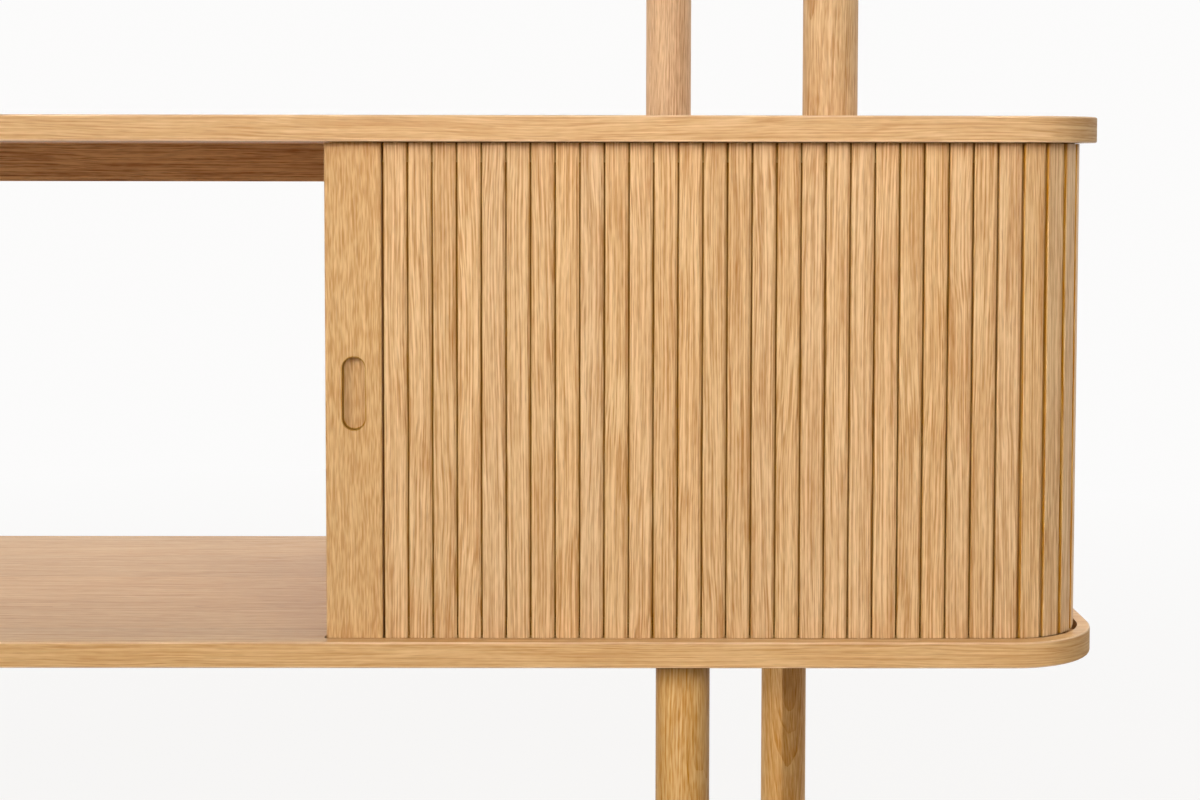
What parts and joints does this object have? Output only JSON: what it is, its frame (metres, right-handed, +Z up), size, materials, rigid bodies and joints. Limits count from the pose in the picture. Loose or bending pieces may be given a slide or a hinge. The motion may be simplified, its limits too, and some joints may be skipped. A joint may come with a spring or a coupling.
{
  "type": "tambour door cabinet",
  "caption": "Open oak shelving unit with a roll-front cabinet in its middle tier: upright slats slide in grooves round the corner, and staggered round posts carry rounded boards.",
  "frame": {"origin": "on the floor under the middle of the unit", "axes": "+X along the boards to the cabinet's end, +Y from front to rear, +Z up"},
  "size_m": [1.4, 0.4, 1.137],
  "materials": {
    "oak_board": "light oak, clear matt oil",
    "oak_panel": "light oak, clear matt oil",
    "oak_post": "light oak, clear matt oil",
    "oak_slat": "light oak, clear matt oil",
    "dowel_wood": "plain beech",
    "canvas": "plain woven canvas",
    "glide": "matt"
  },
  "bodies": {
    "frame": {"bottom_board": "oak_board", "top_board": "oak_board", "upper_shelf": "oak_board", "rear_stretcher": "oak_panel", "left_side_panel": "oak_panel", "right_inner_panel": "oak_panel", "back_panel": "oak_panel", "dowels": "dowel_wood", "foot_glides": "glide", "lower_post_front_right": "oak_post", "lower_post_rear_right": "oak_post", "lower_post_front_left": "oak_post", "lower_post_rear_left": "oak_post", "middle_post_front_left": "oak_post", "middle_post_rear_left": "oak_post", "upper_post_front_right": "oak_post", "upper_post_rear_right": "oak_post", "upper_post_front_left": "oak_post", "upper_post_rear_left": "oak_post"},
    "door_front": {"lead_stile": "oak_slat", "slat_01": "oak_slat", "slat_02": "oak_slat", "slat_03": "oak_slat", "slat_04": "oak_slat", "slat_05": "oak_slat", "slat_06": "oak_slat", "slat_07": "oak_slat", "slat_08": "oak_slat", "slat_09": "oak_slat", "slat_10": "oak_slat", "slat_11": "oak_slat", "slat_12": "oak_slat", "slat_13": "oak_slat", "slat_14": "oak_slat", "slat_15": "oak_slat", "slat_16": "oak_slat", "slat_17": "oak_slat", "slat_18": "oak_slat", "slat_19": "oak_slat", "slat_20": "oak_slat", "slat_21": "oak_slat", "canvas_backing": "canvas"},
    "turning_slat_22": {"slat_22": "oak_slat"},
    "turning_slat_23": {"slat_23": "oak_slat"},
    "turning_slat_24": {"slat_24": "oak_slat"},
    "turning_slat_25": {"slat_25": "oak_slat"},
    "turning_slat_26": {"slat_26": "oak_slat"},
    "turning_slat_27": {"slat_27": "oak_slat"},
    "turning_slat_28": {"slat_28": "oak_slat"},
    "turning_slat_29": {"slat_29": "oak_slat"},
    "turning_slat_30": {"slat_30": "oak_slat"},
    "door_tail": {"side_slats": "oak_slat"}
  },
  "joints": [
    {"name": "door_slide", "type": "slide", "parent": "frame", "child": "door_front", "axis": [1, 0, 0], "range_m": [0, 0.0885], "deforming": ["canvas_backing"]},
    {"name": "slat_22_turn", "type": "hinge", "parent": "frame", "child": "turning_slat_22", "pos_m": [0.59276, 0.15518, 0.559], "axis": [0, 0, 1], "range_deg": [0, 14.9]},
    {"name": "slat_23_turn", "type": "hinge", "parent": "frame", "child": "turning_slat_23", "pos_m": [0.60161, -0.03615, 0.559], "axis": [0, 0, 1], "range_deg": [0, 33.68]},
    {"name": "slat_24_turn", "type": "hinge", "parent": "frame", "child": "turning_slat_24", "pos_m": [0.61046, -0.09033, 0.559], "axis": [0, 0, 1], "range_deg": [0, 52.46]},
    {"name": "slat_25_turn", "type": "hinge", "parent": "frame", "child": "turning_slat_25", "pos_m": [0.61931, -0.11508, 0.559], "axis": [0, 0, 1], "range_deg": [0, 71.24]},
    {"name": "slat_26_turn", "type": "hinge", "parent": "frame", "child": "turning_slat_26", "pos_m": [0.62816, -0.12816, 0.559], "axis": [0, 0, 1], "range_deg": [0, 90.02]},
    {"name": "slat_27_turn", "type": "hinge", "parent": "frame", "child": "turning_slat_27", "pos_m": [0.61849, -0.12115, 0.559], "axis": [0, 0, 1], "range_deg": [0, 75.14]},
    {"name": "slat_28_turn", "type": "hinge", "parent": "frame", "child": "turning_slat_28", "pos_m": [0.59695, -0.1123, 0.559], "axis": [0, 0, 1], "range_deg": [0, 56.36]},
    {"name": "slat_29_turn", "type": "hinge", "parent": "frame", "child": "turning_slat_29", "pos_m": [0.55192, -0.10345, 0.559], "axis": [0, 0, 1], "range_deg": [0, 37.58]},
    {"name": "slat_30_turn", "type": "hinge", "parent": "frame", "child": "turning_slat_30", "pos_m": [0.41594, -0.0946, 0.559], "axis": [0, 0, 1], "range_deg": [0, 18.8]},
    {"name": "door_tail_slide", "type": "slide", "parent": "frame", "child": "door_tail", "axis": [0, 1, 0], "range_m": [0, 0.08851]}
  ],
  "couplings": [
    {"joint": "slat_22_turn", "follows": "door_slide", "rad_per_m": 2.9343},
    {"joint": "slat_23_turn", "follows": "door_slide", "rad_per_m": 6.638},
    {"joint": "slat_24_turn", "follows": "door_slide", "rad_per_m": 10.342},
    {"joint": "slat_25_turn", "follows": "door_slide", "rad_per_m": 14.045},
    {"joint": "slat_26_turn", "follows": "door_slide", "rad_per_m": 17.749},
    {"joint": "slat_27_turn", "follows": "door_slide", "rad_per_m": 14.815},
    {"joint": "slat_28_turn", "follows": "door_slide", "rad_per_m": 11.111},
    {"joint": "slat_29_turn", "follows": "door_slide", "rad_per_m": 7.4074},
    {"joint": "slat_30_turn", "follows": "door_slide", "rad_per_m": 3.7037},
    {"joint": "door_tail_slide", "follows": "door_slide", "ratio": 1}
  ]
}
